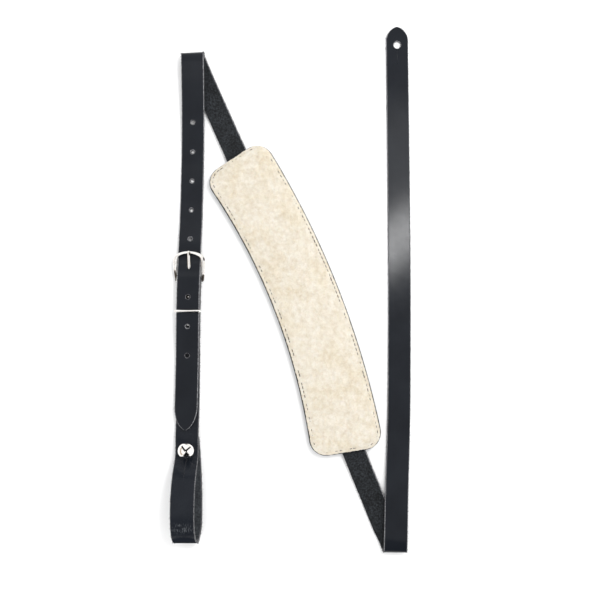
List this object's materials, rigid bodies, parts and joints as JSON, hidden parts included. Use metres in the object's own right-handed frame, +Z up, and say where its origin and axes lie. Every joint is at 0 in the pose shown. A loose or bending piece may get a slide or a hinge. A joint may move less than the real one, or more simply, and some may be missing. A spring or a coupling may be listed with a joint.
{
  "type": "fleece-padded shoulder strap",
  "caption": "Narrow black leather carrying strap with a curved fleece shoulder pad, a buckled adjustment with a wire keeper, a stud-buttoned end loop and a keyhole tip, laid flat in a Z.",
  "frame": {"origin": "middle of the laid-out strap's outline, on the surface it lies on", "axes": "+Z up, +Y towards the folded top end and the keyhole tip, +X from the buckled run towards the plain run"},
  "size_m": [0.2044, 0.4547, 0.0317],
  "materials": {
    "leather": "black leather, smooth grain side and brushed flesh side",
    "fleece": "cream sheared fleece",
    "thread": "black sewing thread",
    "nickel": "polished nickel plate",
    "steel": "plated steel screw"
  },
  "bodies": {
    "strap": {"main_strap": "leather", "loop_strap": "leather", "chape_rivet_near": "nickel", "chape_rivet_far": "nickel", "ball_stud": "nickel", "stud_screw": "steel"},
    "pad": {"pad_backing": "leather", "pad_fleece": "fleece", "pad_thread": "thread", "pad_loop_upper": "leather", "pad_loop_lower": "leather", "pad_rivet_1": "nickel", "pad_rivet_2": "nickel", "pad_rivet_3": "nickel", "pad_rivet_4": "nickel"},
    "buckle": {"buckle_frame": "nickel"},
    "tongue": {"buckle_tongue": "nickel"},
    "keeper": {"strap_keeper": "nickel"}
  },
  "joints": [
    {"name": "pad_slide", "type": "slide", "parent": "strap", "child": "pad", "axis": [-0.3681, 0.9298, 0], "range_m": [-0.01, 0.01]},
    {"name": "buckle_lift", "type": "hinge", "parent": "strap", "child": "buckle", "pos_m": [-0.08895, 0.001, 0.0039], "axis": [1, 0, 0], "range_deg": [0, 4]},
    {"name": "tongue_lift", "type": "hinge", "parent": "buckle", "child": "tongue", "pos_m": [-0.08895, 0.001, 0.0039], "axis": [1, 0, 0], "range_deg": [0, 2]},
    {"name": "keeper_slide", "type": "slide", "parent": "strap", "child": "keeper", "axis": [0, 1, 0], "range_m": [-0.001, 0.0035]}
  ]
}
